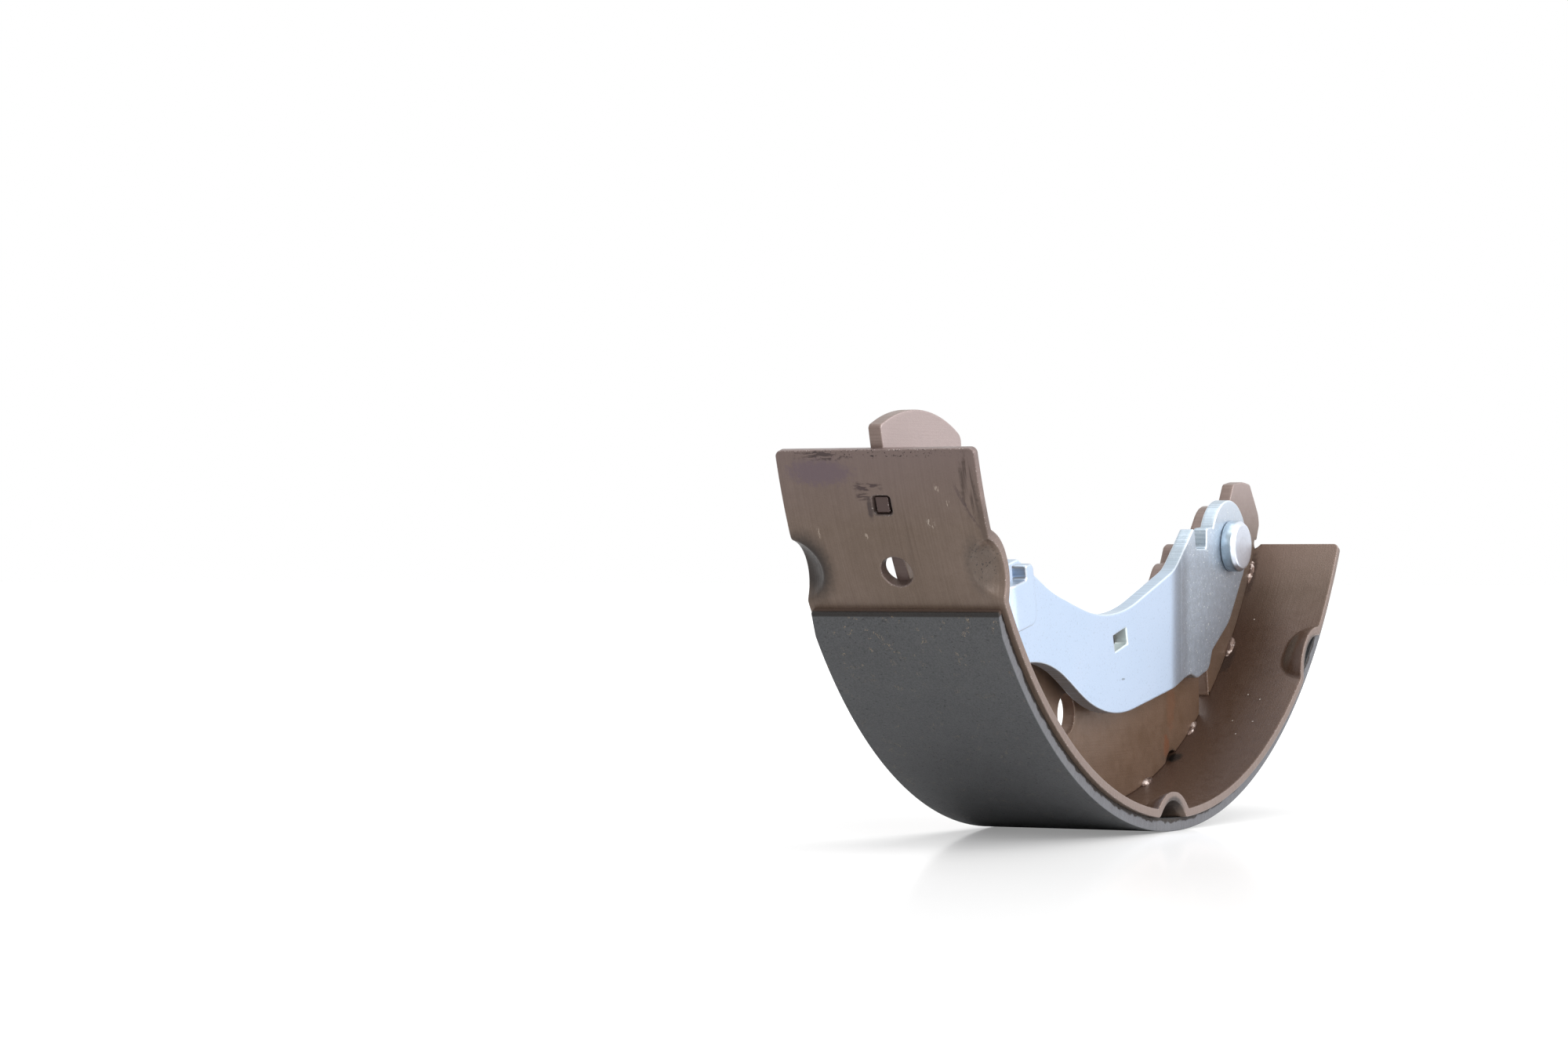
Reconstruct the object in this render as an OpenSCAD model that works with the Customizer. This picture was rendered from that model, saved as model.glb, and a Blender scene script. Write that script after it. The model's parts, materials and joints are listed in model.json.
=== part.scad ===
// Drum brake shoe with its parking brake lever, in millimetres.
// It lies on the round outside of its lining, concave side up, as it comes to rest.
// X runs along the chord from the long bare end to the lever pin end, Y along the drum axis
// with the open side that shows the lever at -Y, and Z points up.
// Angles along the shoe are counted about the drum axis from straight down, positive toward +X.

/* [Drum and lining] */
// Radius of the drum, which is the outer face of the lining
drum_r = 127; // [110:0.5:150]
// Thickness of the bonded friction lining
lining_t = 3.2; // [2:0.1:6]
// Width of the lining
lining_w = 48; // [30:0.5:50]
// Bare strip of the platform that shows beside the lining on the open side
lining_inset = 1.5; // [0.5:0.1:3]
// Angle at which the lining ends on the long bare side
lining_start = -55; // [-65:0.5:-40]
// Angle at which the lining ends on the lever pin side
lining_end = 60.4; // [45:0.1:62]
// Length of the lead-in chamfer at both ends of the lining
lining_chamfer_l = 6; // [2:0.5:12]
// Depth of the lead-in chamfer
lining_chamfer_d = 1.6; // [0.5:0.1:1.9]

/* [Platform] */
// Width of the rolled platform
platform_w = 50.5; // [40:0.5:70]
// Thickness of the platform sheet
platform_t = 2.1; // [1.5:0.1:3]
// Angle at which the platform ends on the long bare side
platform_start = -73.7; // [-78:0.1:-71]
// Angle at which the platform ends on the lever pin side
platform_end = 62.4; // [62:0.1:64]
// Radius of the platform's four corners
platform_corner_r = 1.5; // [0.5:0.1:4]
// Diameter of the round hole in the bare end
round_hole_d = 7.8; // [4:0.1:10]
// Angle of the round hole
round_hole_at = -59.6; // [-61:0.1:-58]
// Side of the small hole that takes the tab of the web
tab_hole = 4.8; // [4:0.1:6]
// Angle of the tab and its hole
tab_at = -67.5; // [-69:0.1:-66]

/* [Guide nibs] */
// Angles of the crimped nibs along both edges of the platform
nib_angles = [-59.8, -2.3, 45.6];
// Length of a nib's opening at the platform's outer face, along the edge
nib_l = 16.6; // [8:0.1:20]
// How far a nib is pressed in
nib_depth = 4.5; // [2:0.1:6]
// How far outside the platform's edge the middle of the press punch lies
nib_reach = 2.5; // [0:0.1:5]

/* [Web] */
// Thickness of the web plate
web_t = 3.3; // [2.5:0.1:5]
// Depth of the web at its middle, from the platform to the inner edge
web_depth = 42; // [36:0.5:46]
// Diameter of the hold-down hole
hold_down_d = 10; // [6:0.1:12]
// Place of the hold-down hole along X from the drum axis
hold_down_x = -16.5; // [-30:0.5:0]
// Height of the hold-down hole above the lowest line of the lining
hold_down_z = 29; // [20:0.5:36]
// Angles of the weld nuggets that join web and platform
weld_angles = [-48.5, -32, -15.5, 0.5, 15.6, 30.8, 46.5, 58.2];
// Length of one weld nugget
weld_l = 7; // [3:0.5:12]
// Leg of one weld nugget
weld_leg = 1.8; // [1:0.1:3]

/* [Parking brake lever] */
// Thickness of the lever plate
lever_t = 3.8; // [2.5:0.1:5]
// Sideways crank of the long arm, away from the web
lever_crank = 2.8; // [1:0.1:5]
// Clearance between the lever and the web
lever_gap = 0.3; // [0.1:0.05:1]
// Angle of the pivot
pivot_at = 54.26; // [53.3:0.02:55.2]
// Distance of the pivot from the platform's inner face
pivot_inset = 24.1; // [22:0.1:25]
// Radius of the lever's rounded head
lever_head_r = 12.1; // [10:0.1:13]
// Radius of the lever's nose, which rests against the platform
lever_nose_r = 4; // [2:0.1:5]
// Clearance between the nose and the platform at rest
nose_gap = 0.3; // [0.1:0.05:0.6]
// Clear width of the folded cable hook
hook_gap = 3.2; // [2:0.1:6]
// Lean of the cable hook against the vertical
hook_lean = 11; // [5:0.5:20]
// Height of the folded lip of the hook
hook_h = 11.2; // [8:0.1:13]
// Height of the hook with its horn
hook_horn_h = 14.6; // [13.5:0.1:17]
// Width of the horn
hook_horn_w = 4.3; // [2.5:0.1:7]

/* [Lever pin] */
// Diameter of the pin in the lever
pin_d = 9.5; // [7:0.1:11]
// Running clearance of the lever on the pin, on the diameter
pin_clearance = 0.12; // [0.05:0.01:0.2]
// End play of the lever under the pin's head
pin_play = 0.1; // [0.05:0.05:0.5]
// Diameter of the pin's shank in the web
pin_shank_d = 8; // [5:0.1:9]
// Diameter of the pin's head
pin_head_d = 13.4; // [11:0.1:16]
// Height of the pin's head
pin_head_h = 3.8; // [2:0.1:6]
// Diameter of the riveted end behind the web
pin_tail_d = 11.5; // [9:0.1:14]
// Height of the riveted end
pin_tail_h = 2; // [1:0.1:3]

/* [Hidden] */
$fn = 96;

platform_ro = drum_r - lining_t;
platform_ri = platform_ro - platform_t;
front_y = -platform_w / 2;

// the outlines are drawn in X and Z for a drum with a radius of 127 and grow about its axis with the drum
grow = drum_r / 127;
function grown(x, z) = [x * grow, z * grow];
// how far the tooth at the lever pin end reaches along X
tooth_x = 110.2 * grow;
// the footprint is centred on the origin
origin_x = (platform_ro * sin(platform_start) + max(platform_ro * sin(platform_end), tooth_x)) / 2;

// nib: a spherical punch whose middle lies outside the platform's edge
nib_r_edge = (pow(nib_l / 2, 2) + pow(nib_depth, 2)) / (2 * nib_depth);
nib_r = sqrt(pow(nib_r_edge, 2) + pow(nib_reach, 2));
nib_centre_r = platform_ro - nib_depth + nib_r_edge;
// half the angle of the piece of ring that a bulge is kept to
nib_span = asin((nib_r + platform_t) / platform_ri) + 2;
// rounded notch in the platform's end where the web meets it
end_notch_clear = 1.75;
end_notch_r = end_notch_clear + web_t / 2;
end_notch_out = 1.7;

// web: the inner edge is an arc whose middle sits above the drum axis
web_inner_rise = 4;
web_inner_x = -2.3;
web_inner_r = platform_ri + web_inner_rise - web_depth;
// angles at which that arc starts at the anchor tip and ends at the first step
web_inner_start = 209;
web_inner_end = 300.7;
web_front = -web_t / 2;
// rounded top of the anchor tip: middle, radius and the angles of its ends
tip_mid = grown(-98.65, 52.3);
tip_r = 49.5 * grow;
tip_start = 111.5;
tip_end = 67.5;
tab_hole_r = 0.9;
tab_w = tab_hole - 1;
tab_sink = 0.4;
// radii of the places where the web stands clear of the platform
gap_relief_r = 4.6;
end_relief_r = 1.1;
// angle of the shallow gap between two weld nuggets, and how far outside the platform its middle lies
gap_relief_at = 23.6;
gap_relief_out = 3;
// slit above the third nib from the long end
slit_corners = [[68, 40.5, 2.4], [72.9, 40.5, 2.4], [74.6, 29, 0], [73, 18, 0], [68, 18, 0]];
// how far the melted face of a weld nugget keeps from the corner, as a share of its leg
weld_throat = 0.45;

// lever: planes of the part at the pin and of the cranked arm
lever_back = web_front - lever_gap;
lever_front = lever_back - lever_t;
arm_back = lever_back - lever_crank;
arm_front = lever_front - lever_crank;
crank_from_x = 35 * grow;
crank_to_x = 49.5 * grow;
pivot_r = platform_ri - pivot_inset;
pivot = [pivot_r * sin(pivot_at), drum_r - pivot_r * cos(pivot_at)];
// height of the straight lower edge that runs out to the nose
nose_edge_z = 42.4 * grow;
nose_mid_z = nose_edge_z + lever_nose_r;
nose_mid_r = platform_ri - nose_gap - lever_nose_r;
nose_mid = [-sqrt(pow(nose_mid_r, 2) - pow(drum_r - nose_mid_z, 2)), nose_mid_z];
// lower corner of the folded lip on its open side
hook_corner = grown(-63.2, 52.2);
hook_lip_l = 10.5;
hook_bend_r = hook_gap / 2 + lever_t;
// rounding of the lip's lower corner, of the horn's top corner and of its sharper corners
lip_corner_r = 3.2;
horn_top_r = 2;
horn_edge_r = 0.4;
lip_front = arm_front - hook_gap - lever_t;
// chamfer of the pin's head, along the pin and radially
chamfer_axial = 1;
chamfer_radial = 0.8;
// peened edge of the riveted end, radially and along the pin
tail_edge = 1.2;
tail_slope = 0.9;
// rectangular window of the lever: middle, size and lean
window_mid = grown(1.1, 46.9);
window_l = 8;
window_h = 4.1;
window_lean = 14;

// far past any edge of the shoe
beyond = 200 * grow;
// what the sheet is made wider on each side before its edges are trimmed
edge_trim = 4;
// the circle of a rounded sheet corner is this much larger, so that it crosses the edges cleanly
corner_ease = 1.005;
// length of a cutter that goes right through the platform and the lining
cut_l = 4 * (platform_t + lining_t);
seam = 0.01;
// degrees of a fillet that one step of its outline covers
fillet_angle = 6;

platform_colour = "#6f6055";
lining_colour = "#4a4b4d";
zinc_colour = "#cfdcea";
weld_colour = "#7d6a60";

// Corner list [x, z, fillet radius] turned into the points of a rounded outline
function unit(v) = v / norm(v);
function corner_points(a, b, c) =
    b[2] == 0 ? [[b[0], b[1]]] :
    let (p = [b[0], b[1]],
         u = unit([a[0], a[1]] - p),
         v = unit([c[0], c[1]] - p),
         half = acos(max(-1, min(1, u * v))) / 2,
         mid = p + unit(u + v) * (b[2] / sin(half)),
         s = p + u * (b[2] / tan(half)),
         e = p + v * (b[2] / tan(half)),
         s_at = atan2(s[1] - mid[1], s[0] - mid[0]),
         sweep = atan2(e[1] - mid[1], e[0] - mid[0]) - s_at,
         turn = sweep > 180 ? sweep - 360 : sweep < -180 ? sweep + 360 : sweep,
         steps = max(2, ceil(abs(turn) / fillet_angle)))
    [for (i = [0:steps]) mid + b[2] * [cos(s_at + turn * i / steps), sin(s_at + turn * i / steps)]];
function rounded(corners) =
    let (n = len(corners))
    [for (i = [0:n - 1])
        each corner_points(corners[(i + n - 1) % n], corners[i], corners[(i + 1) % n])];
// Corners drawn for the drawn drum, grown with the drum
function grown_corners(corners) = [for (c = corners) concat(grown(c[0], c[1]), [c[2] * grow])];
// Points of an arc as corners without a fillet
function arc_corners(mid, r, from, to, steps) =
    [for (i = [0:steps])
        let (a = from + (to - from) * i / steps) [mid[0] + r * cos(a), mid[1] + r * sin(a), 0]];

// Stands a flat shape drawn in X and Z upright, from y_from to y_to
module upright(y_from, y_to) {
    translate([0, y_to, 0]) rotate([90, 0, 0]) linear_extrude(height = y_to - y_from) children();
}

// Moves children to the drum axis, turned so that the angle a points down to the child's -Z
module at_angle(a) {
    translate([0, 0, drum_r]) rotate([0, -a, 0]) children();
}

// Part of a ring about the drum axis
module ring_part(r_in, r_out, y_from, y_to, a_from, a_to) {
    translate([0, 0, drum_r]) rotate([90, 0, 0]) rotate([0, 0, a_from - 90])
        rotate_extrude(angle = a_to - a_from, $fn = 360)
            translate([r_in, -y_to]) square([r_out - r_in, y_to - y_from]);
}

// What is cut off a square sheet corner to round it; side is 1 or -1 along Y, way along the arc
module sheet_corner(a, side, way) {
    r = platform_corner_r;
    at_angle(a) translate([-way * r, side * (platform_w / 2 - r), -drum_r])
        difference() {
            translate([way > 0 ? 0 : -2 * r, side > 0 ? 0 : -2 * r, 0]) cube([2 * r, 2 * r, cut_l]);
            translate([0, 0, -1]) cylinder(r = r * corner_ease, h = cut_l + 2);
        }
}

// Ball of the punch that presses in a nib; its middle lies outside the platform's edge
module nib_ball(a, side, r) {
    at_angle(a) translate([0, side * (platform_w / 2 + nib_reach), -nib_centre_r])
        rotate_extrude($fn = 48) intersection() {
            circle(r = r);
            translate([0, -r]) square([r, 2 * r]);
        }
}

// Bulge that a nib makes inward, up to the middle of the sheet
module nib_bulge(a, side) {
    side_y = platform_w / 2 + edge_trim / 2;
    intersection() {
        nib_ball(a, side, nib_r + platform_t);
        ring_part(platform_ri - 2 * nib_depth, (platform_ri + platform_ro) / 2,
                  side > 0 ? 0 : -side_y, side > 0 ? side_y : 0, a - nib_span, a + nib_span);
    }
}

// The sheet and its bulges are made wider than the platform and trimmed at both edges
module platform() {
    color(platform_colour) translate([-origin_x, 0, 0]) difference() {
        union() {
            ring_part(platform_ri, platform_ro, front_y - edge_trim, -front_y + edge_trim,
                      platform_start, platform_end);
            for (a = nib_angles, side = [-1, 1]) nib_bulge(a, side);
        }
        for (a = nib_angles, side = [-1, 1]) nib_ball(a, side, nib_r);
        for (side = [0, 1]) mirror([0, side, 0])
            translate([-beyond, front_y - beyond, -beyond]) cube([2 * beyond, beyond, 3 * beyond]);
        for (side = [-1, 1]) {
            sheet_corner(platform_start, side, -1);
            sheet_corner(platform_end, side, 1);
        }
        at_angle(round_hole_at) translate([0, 0, -drum_r]) cylinder(d = round_hole_d, h = cut_l);
        at_angle(tab_at) translate([0, 0, -drum_r]) linear_extrude(height = cut_l)
            polygon(rounded([for (c = [[-1, -1], [1, -1], [1, 1], [-1, 1]])
                concat(c * tab_hole / 2, [tab_hole_r])]));
        at_angle(platform_end) translate([end_notch_out, 0, -drum_r]) cylinder(r = end_notch_r, h = cut_l);
    }
}

// Outline of the web; its outer side runs past the platform and is trimmed by the ring
anchor_tip = concat(grown_corners([[-116.7, 92.5, 0], [-118.3, 97.8, 1.3]]),
                    arc_corners(tip_mid, tip_r, tip_start, tip_end, 12), grown_corners([[-75.6, 96.1, 3]]));
inner_edge = arc_corners([web_inner_x, drum_r + web_inner_rise], web_inner_r,
                         web_inner_start, web_inner_end, 30);
steps_and_tooth = [
    [45.6, 65.6, 5], [50.4, 65.6, 0.6], [52.6, 70.6, 3], [66.6, 70.6, 2], [75.2, 80.6, 9],
    [88.6, 80.6, 2], [92.2, 86.4, 1.5], [98.2, 87.3, 20], [103.8, 86.5, 1.2],
    [110.2, 77.9, 6], [110.2, 73.6, 5], [108.2, 69.5, 0]];
below_platform = [[200, 60, 0], [200, -10, 0], [-200, -10, 0], [-200, 80, 0]];
web_corners = concat(anchor_tip, inner_edge, grown_corners(steps_and_tooth),
                     grown_corners(below_platform));

module web() {
    color(platform_colour) translate([-origin_x, 0, 0]) upright(-web_t / 2, web_t / 2) {
        difference() {
            intersection() {
                polygon(rounded(web_corners));
                translate([0, drum_r]) union() {
                    circle(r = platform_ri, $fn = 360);
                    // locating tab in the small hole of the platform
                    rotate(tab_at) translate([-tab_w / 2, -platform_ro + tab_sink])
                        square([tab_w, platform_t + tab_w]);
                }
            }
            translate([hold_down_x, hold_down_z]) circle(d = hold_down_d);
            translate(pivot) circle(d = pin_shank_d);
            web_reliefs();
        }
    }
}

// Moves a flat shape to the platform's inner face at the angle a, with +Y toward the axis
module on_platform(a) {
    translate([0, drum_r]) rotate(a) translate([0, -platform_ri]) children();
}

// Places where the web stands clear of the platform
module web_reliefs() {
    polygon(rounded(grown_corners(slit_corners)));
    on_platform(gap_relief_at) translate([0, -gap_relief_out]) circle(r = gap_relief_r);
    // where the platform ends at the lever pin
    on_platform(platform_end) circle(r = end_relief_r);
}

module friction_lining() {
    lining_front = front_y + lining_inset;
    cut_a = atan(lining_chamfer_d / lining_chamfer_l);
    color(lining_colour) translate([-origin_x, 0, 0]) difference() {
        ring_part(platform_ro, drum_r, lining_front, lining_front + lining_w, lining_start, lining_end);
        for (way = [[lining_start, 1], [lining_end, -1]])
            at_angle(way[0]) translate([0, lining_front - 1, -drum_r + lining_chamfer_d])
                rotate([0, way[1] * cut_a, 0]) translate([-1.5 * cut_l, 0, -cut_l])
                    cube([3 * cut_l, lining_w + 2, cut_l]);
    }
}

module projection_welds() {
    span = weld_l / platform_ri * 180 / PI;
    color(weld_colour) translate([-origin_x, 0, drum_r]) for (a = weld_angles, side = [0, 1])
        mirror([0, side, 0]) rotate([90, 0, 0]) rotate([0, 0, a - span / 2 - 90])
            rotate_extrude(angle = span, $fn = 360)
                polygon([[platform_ri, web_t / 2], [platform_ri, web_t / 2 + weld_leg],
                         [platform_ri - weld_leg * weld_throat, web_t / 2 + weld_leg * weld_throat],
                         [platform_ri - weld_leg, web_t / 2]]);
}

// Outline of the lever plate; the round head and the round nose are added to it
lever_slot = [[55.3, 75.1, 0.8], [56.6, 69.4, 0.8], [63.4, 69.4, 0.8], [63.6, 74.7, 1], [67.6, 75, 0.8]];
// these run inside the round head, from the slot to where the lower side leaves the head
head_leave_at = -38.3;
head_leave = pivot + (lever_head_r - seam) * [cos(head_leave_at), sin(head_leave_at)];
lever_head = [[pivot[0] - lever_head_r / 2, pivot[1], 0], [head_leave[0], head_leave[1], 0]];
lever_lower_edge = [
    [78.75, 49.95, 12], [67.2, 42.75, 2.5], [64.9, 37.9, 4], [57.3, 35.8, 4], [53, 36.9, 3],
    [-7.4, 26.55, 53]];
lever_nose = [[nose_mid[0], nose_mid[1] - lever_nose_r, 0], [nose_mid[0] - lever_nose_r, nose_mid[1], 0]];
lever_upper_edge = [
    [-80.5, 57, 0], [-81.5, 62.6, 0], [-59.3, 67.2, 1.5], [-53, 64.7, 3], [-39.7, 59.1, 65], [-4.9, 50.9, 65],
    [39.3, 65.3, 60], [49.5, 70.1, 12]];
lever_corners = concat(grown_corners(lever_slot), lever_head, grown_corners(lever_lower_edge),
                       [[-40.1 * grow, nose_edge_z, 46 * grow]], lever_nose, grown_corners(lever_upper_edge));

// Cranked sheet seen from above, from the long arm to the pin
module crank_plan() {
    polygon([[-beyond, arm_front], [crank_from_x, arm_front], [crank_to_x, lever_front],
             [beyond, lever_front], [beyond, lever_back], [crank_to_x, lever_back],
             [crank_from_x, arm_back], [-beyond, arm_back]]);
}

// Cable hook: the end of the arm is folded back beside itself and ends in a horn
module cable_hook() {
    translate([hook_corner[0], 0, hook_corner[1]]) rotate([0, -hook_lean, 0]) {
        // bend: half a tube about the line midway between plate and lip
        intersection() {
            translate([-hook_lip_l, arm_front - hook_gap / 2, 0]) difference() {
                cylinder(r = hook_bend_r, h = hook_h);
                translate([0, 0, -1]) cylinder(r = hook_gap / 2, h = hook_h + 2);
            }
            translate([-hook_lip_l - 2 * hook_bend_r, lip_front - 1, 0])
                cube([2 * hook_bend_r + seam, 2 * hook_bend_r + 2, hook_h]);
        }
        // lip, parallel to the plate, with the horn at its free end
        upright(lip_front, lip_front + lever_t)
            polygon(rounded([[-hook_lip_l, 0, 0], [0, 0, lip_corner_r], [0, hook_horn_h, horn_top_r],
                             [-hook_horn_w, hook_horn_h, horn_edge_r], [-hook_horn_w, hook_h, horn_edge_r],
                             [-hook_lip_l, hook_h, 0]]));
    }
}

module lever_plate() {
    upright(arm_front - 1, lever_back + 1) {
        polygon(rounded(lever_corners));
        translate(pivot) circle(r = lever_head_r);
        translate(nose_mid) circle(r = lever_nose_r);
    }
}

module parking_lever() {
    color(zinc_colour) translate([-origin_x, 0, 0]) difference() {
        union() {
            intersection() {
                lever_plate();
                linear_extrude(height = beyond) crank_plan();
            }
            cable_hook();
        }
        translate([pivot[0], lever_back + 1, pivot[1]]) rotate([90, 0, 0])
            cylinder(d = pin_d + pin_clearance, h = lever_t + 2);
        translate([window_mid[0], 0, window_mid[1]]) rotate([0, -window_lean, 0])
            translate([-window_l / 2, arm_front - 1, -window_h / 2]) cube([window_l, lever_t + 2, window_h]);
    }
}

// Shoulder pin: head, journal for the lever, shank in the web and riveted end behind it
module lever_pin() {
    head_back = web_front - lever_front + pin_play;
    head_end = head_back + pin_head_h;
    tail_end = -web_t - pin_tail_h;
    color(zinc_colour) translate([pivot[0] - origin_x, web_front, pivot[1]]) rotate([90, 0, 0])
        rotate_extrude()
            polygon([[0, tail_end], [pin_tail_d / 2 - tail_edge, tail_end],
                     [pin_tail_d / 2, tail_end + tail_slope], [pin_tail_d / 2, -web_t],
                     [pin_shank_d / 2, -web_t], [pin_shank_d / 2, 0],
                     [pin_d / 2, 0], [pin_d / 2, head_back],
                     [pin_head_d / 2, head_back], [pin_head_d / 2, head_end - chamfer_axial],
                     [pin_head_d / 2 - chamfer_radial, head_end], [0, head_end]]);
}

platform();
web();
friction_lining();
projection_welds();
parking_lever();
lever_pin();
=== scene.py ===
"""Looks of a drum brake shoe with its parking brake lever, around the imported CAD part.

Sizes are written in millimetres and turned to metres when a mesh is made. X runs along the chord
from the long bare end to the lever pin, Y along the drum axis with the lever at -Y, and Z points
up. A sheet has its own flat place (u, v) and the depth through it: on the platform and the lining
u runs along the arc from the drum's lowest point, and on the web and the lever u is X and v is Z.
"""
import json
import math

import bmesh
import bpy
import numpy as np
from mathutils import Matrix, Vector
from mathutils.geometry import delaunay_2d_cdt
from mathutils.kdtree import KDTree

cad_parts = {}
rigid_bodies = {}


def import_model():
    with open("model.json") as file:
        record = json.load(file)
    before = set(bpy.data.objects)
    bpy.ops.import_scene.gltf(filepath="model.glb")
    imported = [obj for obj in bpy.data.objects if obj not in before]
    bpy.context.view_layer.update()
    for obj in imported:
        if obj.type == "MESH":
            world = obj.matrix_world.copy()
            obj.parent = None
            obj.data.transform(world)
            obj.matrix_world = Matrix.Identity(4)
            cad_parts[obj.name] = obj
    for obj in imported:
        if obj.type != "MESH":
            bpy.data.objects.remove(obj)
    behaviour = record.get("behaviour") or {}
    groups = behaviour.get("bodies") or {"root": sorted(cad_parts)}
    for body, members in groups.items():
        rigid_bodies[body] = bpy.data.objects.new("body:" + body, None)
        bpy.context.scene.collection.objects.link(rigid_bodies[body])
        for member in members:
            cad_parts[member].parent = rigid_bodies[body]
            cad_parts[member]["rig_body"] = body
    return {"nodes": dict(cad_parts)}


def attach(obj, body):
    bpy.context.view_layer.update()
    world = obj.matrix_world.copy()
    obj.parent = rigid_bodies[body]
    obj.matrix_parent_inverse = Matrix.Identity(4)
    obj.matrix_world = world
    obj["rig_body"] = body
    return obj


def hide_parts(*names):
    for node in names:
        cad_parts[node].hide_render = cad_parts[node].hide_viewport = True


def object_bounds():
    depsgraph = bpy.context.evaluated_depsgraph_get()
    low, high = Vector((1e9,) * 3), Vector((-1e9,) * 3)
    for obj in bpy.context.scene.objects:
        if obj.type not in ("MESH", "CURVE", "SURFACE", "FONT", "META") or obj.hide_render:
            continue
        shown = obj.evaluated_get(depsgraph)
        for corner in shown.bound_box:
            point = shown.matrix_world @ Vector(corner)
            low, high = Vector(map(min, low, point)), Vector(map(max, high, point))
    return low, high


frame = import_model()
cad_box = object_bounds()

MM = 0.001

# The drum axis, and the radii and angles of the rolled pieces about it
AXIS_X, AXIS_Z = 4.312, 127.0
DRUM_R, PLATFORM_OUT, PLATFORM_IN = 127.0, 123.8, 121.7
PLATFORM_FROM, PLATFORM_TO = -73.7, 62.4
PLATFORM_HALF_W = 25.25
LINING_FROM, LINING_TO = -55.0, 60.4
LINING_FRONT, LINING_BACK = -23.75, 24.25

# Punched in the platform: the round hole, and the square one that takes the web's tab
HOLE_U, TAB_U = (math.radians(a) * PLATFORM_OUT for a in (-59.6, -67.5))
HOLE_R, TAB_HALF, TAB_CORNER = 3.9, 2.4, 0.9

# Press punch of the guide nibs: angles, radius of the ball, radius and height of its middle
NIB_ANGLES = (-59.8, -2.3, 45.6)
NIB_BALL, NIB_MID_R, NIB_MID_Y = 10.215, 129.204, 27.75

WEB_HALF = 1.65

# Lever: faces of the arm and back of the head along Y, where the crank runs along X, and the
# middles of the pin and of the window in X and Z
ARM_FRONT, ARM_BACK, HEAD_BACK = -8.55, -4.75, -1.95
CRANK_FROM, CRANK_TO = 39.312, 53.812
PIVOT = (83.531, 69.991)
WINDOW_MID = (5.4, 46.9)

# Cable hook: lower corner of the lip, lean, inner radius of the bend, length and height of the
# lip, height and width of the horn
HOOK_CORNER = (-58.888, 52.2)
HOOK_LEAN = math.radians(11)
HOOK_BEND, HOOK_LIP_L, HOOK_H, HORN_H, HORN_W = 1.6, 10.5, 11.2, 14.6, 4.3

# Meshes: pitch of an outline's points, rows of a grid in pitches, widest ring on a cut wall, and
# inset of the first ring on a flat face in radii of its edge
EDGE_STEP, ROW_SHARE, WALL_STEP, FLAT_RING = 0.5, 0.866, 0.7, 1.9


# Flat outlines

def rounded(corners, step=4.0):
    """Outline from corners (u, v, radius), with arcs in steps of degrees; radius 0 stays sharp."""
    points = []
    for i, (u, v, r) in enumerate(corners):
        here = Vector((u, v))
        if r == 0:
            points.append(tuple(here))
            continue
        before = (Vector(corners[i - 1][:2]) - here).normalized()
        after = (Vector(corners[(i + 1) % len(corners)][:2]) - here).normalized()
        half = before.angle(after) / 2
        mid = here + (before + after).normalized() * r / math.sin(half)
        start = here + before * r / math.tan(half) - mid
        turn = start.angle_signed(here + after * r / math.tan(half) - mid)
        count = max(3, math.ceil(abs(math.degrees(turn)) / step))
        for k in range(count + 1):
            a = -turn * k / count
            points.append((mid.x + start.x * math.cos(a) - start.y * math.sin(a),
                           mid.y + start.x * math.sin(a) + start.y * math.cos(a)))
    return points


def circle(u, v, r, count=96):
    angles = [2 * math.pi * k / count for k in range(count)]
    return [(u + r * math.cos(a), v + r * math.sin(a)) for a in angles]


def signed_area(loop):
    a = np.asarray(loop)
    b = np.roll(a, -1, axis=0)
    return 0.5 * float(np.sum(a[:, 0] * b[:, 1] - b[:, 0] * a[:, 1]))


def cad_outlines(node, picked):
    """Outlines in X and Z of the faces of a CAD node that picked(normal, middle in mm) accepts."""
    bm = bmesh.new()
    bm.from_mesh(frame["nodes"][node].data)
    bmesh.ops.remove_doubles(bm, verts=bm.verts, dist=3e-6)
    chosen = {f for f in bm.faces if picked(f.normal, f.calc_center_median() / MM)}
    follows = {}
    for f in chosen:
        for corner in f.loops:
            if not any(other in chosen for other in corner.edge.link_faces if other is not f):
                ahead = corner.link_loop_next.vert.index
                follows.setdefault(corner.vert.index, []).append(ahead)
    places = {v.index: (v.co.x / MM, v.co.z / MM) for v in bm.verts}
    bm.free()
    loops = []
    while follows:
        start = here = min(follows)
        loop = []
        while here in follows:
            loop.append(places[here])
            passed = here
            here = follows[passed].pop()
            if not follows[passed]:
                del follows[passed]
        if here == start and len(loop) > 2:
            loops.append(loop)
    return sorted(loops, key=lambda loop: -abs(signed_area(loop)))


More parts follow.
